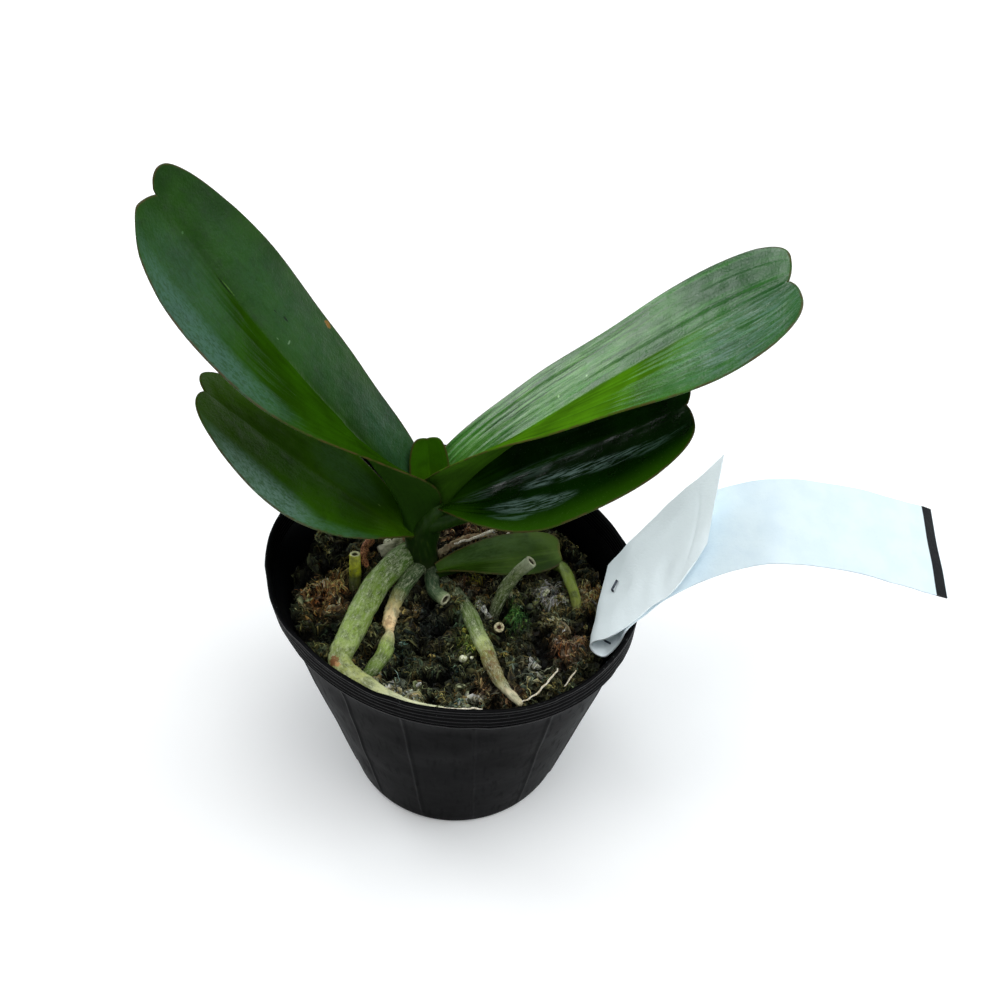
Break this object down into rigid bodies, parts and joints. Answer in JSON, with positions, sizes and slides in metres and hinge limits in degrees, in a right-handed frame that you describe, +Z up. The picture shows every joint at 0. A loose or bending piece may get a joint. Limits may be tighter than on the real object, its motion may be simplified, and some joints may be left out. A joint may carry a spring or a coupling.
{
  "type": "potted aerides houlletiana orchid",
  "caption": "Young strap-leaved orchid with thick aerial roots on a moss root ball, in a soft black nursery pot with a blank folded paper label over its rim.",
  "frame": {"origin": "centre of the pot's underside, on the surface that the pot stands on", "axes": "+Z up along the pot's axis, +X to the viewer's right along the row of leaves and towards the label, +Y away from the viewer"},
  "size_m": [0.1892, 0.0851, 0.1852],
  "materials": {
    "pot_plastic": "satin",
    "moss_old": "rough",
    "stem_green": "satin",
    "leaf_green": "glossy",
    "leaf_young": "satin",
    "root_green": "matte",
    "root_dry": "matte",
    "label_paper": "matte",
    "staple_wire": "satin"
  },
  "bodies": {
    "root": {"pot": "pot_plastic", "stem": "stem_green", "moss": "moss_old", "root_thick": "root_green", "root_pinched": "root_green", "root_front": "root_green", "root_stub_hollow": "root_green", "root_right": "root_green", "root_stub_centre": "root_green", "root_stub_upright": "root_green", "root_back_left": "root_dry", "root_back_right": "root_dry", "leaf_upper_left": "leaf_green", "leaf_upper_right": "leaf_green", "leaf_lower_left": "leaf_green", "leaf_lower_right": "leaf_green", "leaf_basal": "leaf_green", "leaf_centre": "leaf_young", "label": "label_paper", "staple": "staple_wire"}
  },
  "joints": []
}
